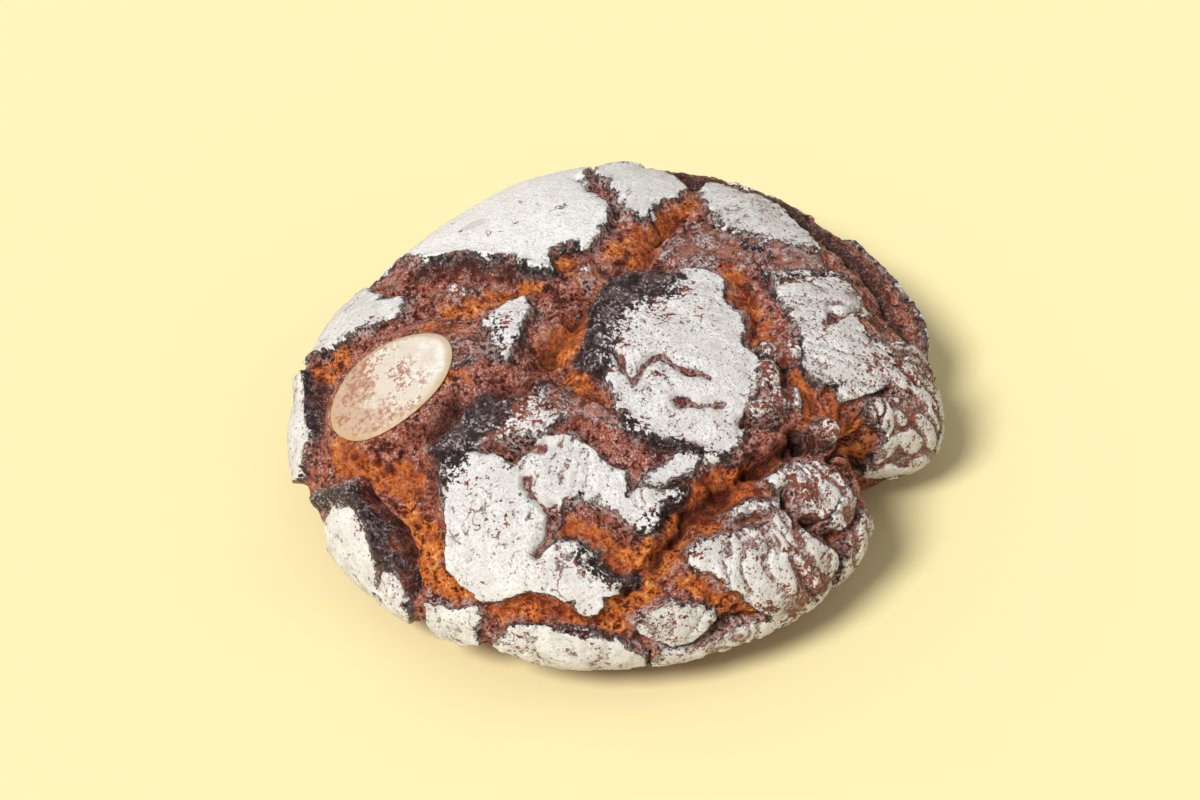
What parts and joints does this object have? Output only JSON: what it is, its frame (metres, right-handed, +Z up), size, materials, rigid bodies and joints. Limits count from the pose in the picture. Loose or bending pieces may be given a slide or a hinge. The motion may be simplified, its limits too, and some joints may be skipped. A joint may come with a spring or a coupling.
{
  "type": "rye bread loaf",
  "caption": "Round hearth-baked rye loaf, its floured crust split into plates with torn dough between them, and an oval wafer label stuck on top.",
  "frame": {"origin": "middle of the loaf's footprint, on the surface it rests on", "axes": "+Z up through the crown, -Y the front, +X to the right with the cleft between the two right lobes"},
  "size_m": [0.2164, 0.214, 0.0761],
  "materials": {
    "crust": "dry rough brown crust dusted with flour",
    "wafer": "smooth cream baked wafer, browned in patches"
  },
  "bodies": {
    "root": {"loaf": "crust", "label": "wafer"}
  },
  "joints": []
}
